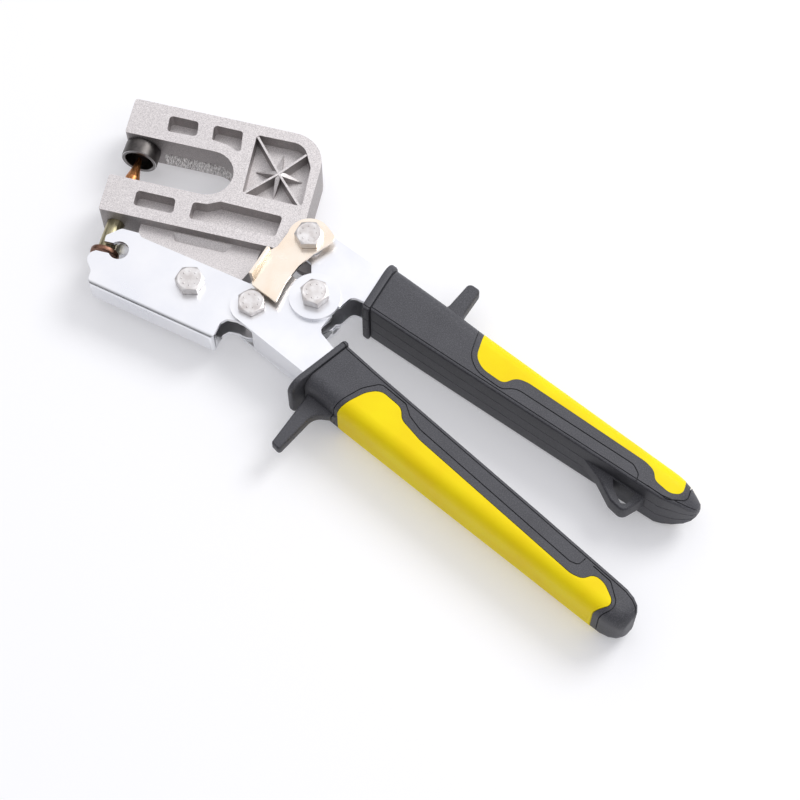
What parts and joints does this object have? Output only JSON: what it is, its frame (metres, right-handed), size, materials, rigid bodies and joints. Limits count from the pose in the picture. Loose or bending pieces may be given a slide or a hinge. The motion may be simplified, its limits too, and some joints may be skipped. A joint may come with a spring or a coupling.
{
  "type": "punch lock stud crimper",
  "caption": "Hand-squeezed metal stud crimper: a cast C-frame with a die and a sliding punch, driven by a sheet-steel lever and two handles with soft grips, and a swinging latch.",
  "frame": {"origin": "bottom centre of the tool's box as it lies on its back", "axes": "+X along the jaws towards the handles, +Y the way the punch strikes, +Z out of the front face"},
  "size_m": [0.2568, 0.1728, 0.0279],
  "materials": {
    "cast_frame": "blasted casting, light warm grey with a fine grain",
    "zinc_sheet": "bright white zinc plate on pressed sheet steel",
    "fastener_steel": "zinc-plated steel, slightly grained",
    "yellow_chromate": "pale yellow chromate plate, golden at the edges",
    "blackened_steel": "blackened steel with a bright worn rim",
    "punch_steel": "copper-brown plated steel, worn",
    "punch_foot": "dark reddish brown plated steel, worn",
    "charcoal_plastic": "finely grained charcoal plastic",
    "yellow_pad": "soft yellow overmould, smooth satin",
    "spring_wire": "bright drawn spring wire"
  },
  "bodies": {
    "die_head": {"die_frame": "cast_frame", "die_cup": "blackened_steel", "die_screw": "fastener_steel", "lever_pivot_bolt": "fastener_steel", "lever_pivot_nut": "fastener_steel", "frame_pivot_bolt": "fastener_steel", "frame_pivot_nut": "fastener_steel", "frame_pivot_shim_front": "fastener_steel", "frame_pivot_shim_back": "fastener_steel", "frame_pivot_spacer_front": "fastener_steel", "frame_pivot_washer_back": "fastener_steel"},
    "punch": {"punch": "punch_steel", "punch_foot": "punch_foot"},
    "punch_lever": {"punch_lever": "zinc_sheet"},
    "upper_handle": {"upper_handle_channel": "zinc_sheet", "upper_grip": "charcoal_plastic", "upper_grip_pad": "yellow_pad", "handle_pivot_bolt": "fastener_steel", "handle_pivot_nut": "fastener_steel", "handle_pivot_sleeve": "fastener_steel", "return_spring": "spring_wire"},
    "lower_handle": {"lower_handle_channel": "zinc_sheet", "lower_grip": "charcoal_plastic", "lower_grip_pad": "yellow_pad", "link_pivot_bolt": "fastener_steel", "link_pivot_nut": "fastener_steel", "link_pivot_sleeve": "fastener_steel"},
    "latch": {"latch_plate": "yellow_chromate"}
  },
  "joints": [
    {"name": "upper_handle_swing", "type": "hinge", "parent": "die_head", "child": "upper_handle", "pos_m": [-0.04194, 0.03919, 0.0123], "axis": [0, 0, 1], "range_deg": [-1, 5]},
    {"name": "handle_squeeze", "type": "hinge", "parent": "upper_handle", "child": "lower_handle", "pos_m": [-0.03324, 0.01579, 0.0123], "axis": [0, 0, 1], "range_deg": [-24, 4]},
    {"name": "punch_lever_swing", "type": "hinge", "parent": "die_head", "child": "punch_lever", "pos_m": [-0.08244, 0.01099, 0.0123], "axis": [0, 0, 1], "range_deg": [-3.4, 19.6]},
    {"name": "punch_slide", "type": "slide", "parent": "die_head", "child": "punch", "axis": [0, 1, 0], "range_m": [-0.0129, 0.0023]},
    {"name": "latch_swing", "type": "hinge", "parent": "die_head", "child": "latch", "pos_m": [-0.04194, 0.03919, 0.0123], "axis": [0, 0, 1], "range_deg": [0, 13]}
  ],
  "couplings": [
    {"joint": "upper_handle_swing", "follows": "handle_squeeze", "ratio": -0.19},
    {"joint": "punch_lever_swing", "follows": "handle_squeeze", "ratio": -0.805},
    {"joint": "punch_slide", "follows": "handle_squeeze", "m_per_rad": 0.0303}
  ]
}
